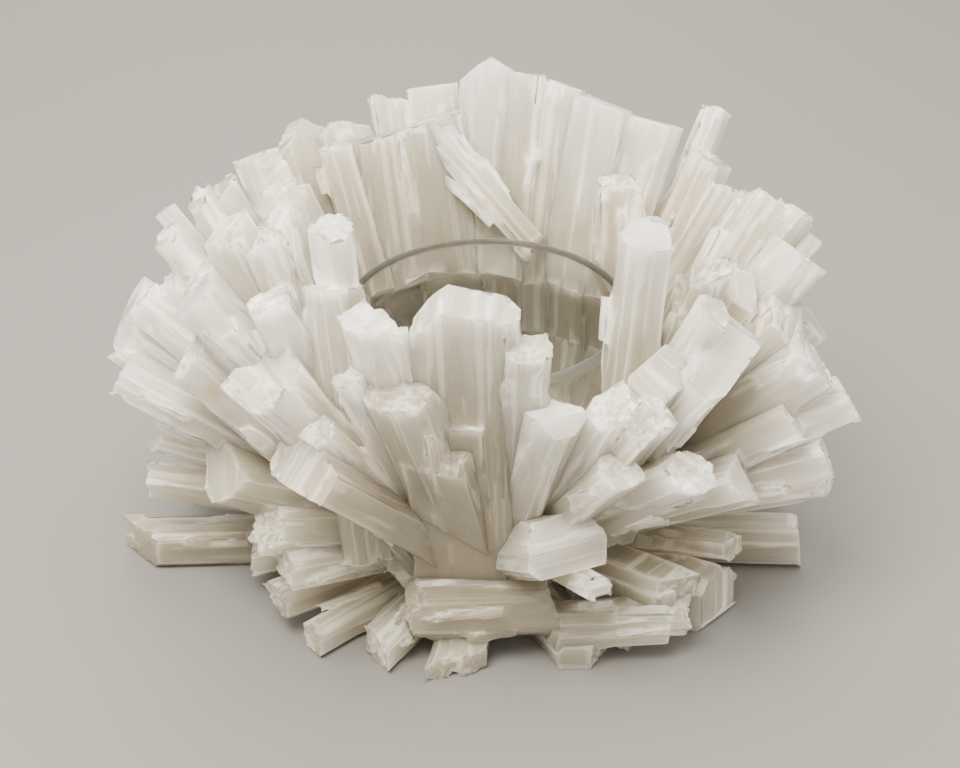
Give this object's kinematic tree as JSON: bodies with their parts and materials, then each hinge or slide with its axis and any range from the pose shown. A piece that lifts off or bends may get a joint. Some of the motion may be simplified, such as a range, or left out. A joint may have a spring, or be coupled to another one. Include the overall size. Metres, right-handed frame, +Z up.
{
  "type": "crystal bowl",
  "caption": "Round clear glass bowl with raw white satin spar logs glued radiating all over its outside, open at the top.",
  "frame": {"origin": "on the flat underside of the base slab, under the middle of the glass bowl", "axes": "+Z up through the bowl's mouth; -Y is the front"},
  "size_m": [0.451, 0.3789, 0.2692],
  "materials": {
    "clear_glass": "clear, smooth",
    "satin_spar": "milky translucent, silky along the fibres, frosted and chipped at broken ends"
  },
  "bodies": {
    "root": {"glass_bowl": "clear_glass", "base_centre_slab": "satin_spar", "front_centre_crystal": "satin_spar", "front_short_crystal": "satin_spar", "front_pointing_log": "satin_spar", "front_streaked_log": "satin_spar", "left_front_crown_log": "satin_spar", "right_front_crown_log": "satin_spar", "front_square_log": "satin_spar", "front_narrow_logs": "satin_spar", "front_left_bright_log": "satin_spar", "front_left_warm_log": "satin_spar", "front_right_shards": "satin_spar", "front_low_block": "satin_spar", "front_smooth_block": "satin_spar", "right_blunt_logs": "satin_spar", "right_long_log": "satin_spar", "right_square_block": "satin_spar", "right_upper_logs": "satin_spar", "right_side_slab": "satin_spar", "right_rough_block": "satin_spar", "right_far_log": "satin_spar", "right_low_logs": "satin_spar", "right_base_log": "satin_spar", "right_corner_logs": "satin_spar", "front_cross_log": "satin_spar", "front_cross_log_right": "satin_spar", "front_base_pair": "satin_spar", "front_base_right_logs": "satin_spar", "front_base_left_log": "satin_spar", "left_front_base_logs": "satin_spar", "left_base_square_log": "satin_spar", "left_corner_block": "satin_spar", "left_base_log": "satin_spar", "left_low_log": "satin_spar", "left_small_logs": "satin_spar", "left_big_slab": "satin_spar", "left_big_slab_low": "satin_spar", "left_upper_shards": "satin_spar", "left_middle_slab": "satin_spar", "left_white_logs": "satin_spar", "left_crown_slab": "satin_spar", "left_crown_block": "satin_spar", "left_crown_short_logs": "satin_spar", "back_left_pointed_log": "satin_spar", "back_left_ridge_log": "satin_spar", "back_broad_slab": "satin_spar", "back_leaning_log": "satin_spar", "back_crown_left_pair": "satin_spar", "back_crown_tall_log": "satin_spar", "back_crown_right_pair": "satin_spar", "back_wide_slab": "satin_spar", "back_right_slab": "satin_spar", "back_right_logs": "satin_spar", "right_rim_log": "satin_spar", "right_crown_cluster": "satin_spar", "right_broad_slab": "satin_spar", "left_back_logs": "satin_spar", "base_back_left_logs": "satin_spar", "base_back_right_logs": "satin_spar"}
  },
  "joints": []
}
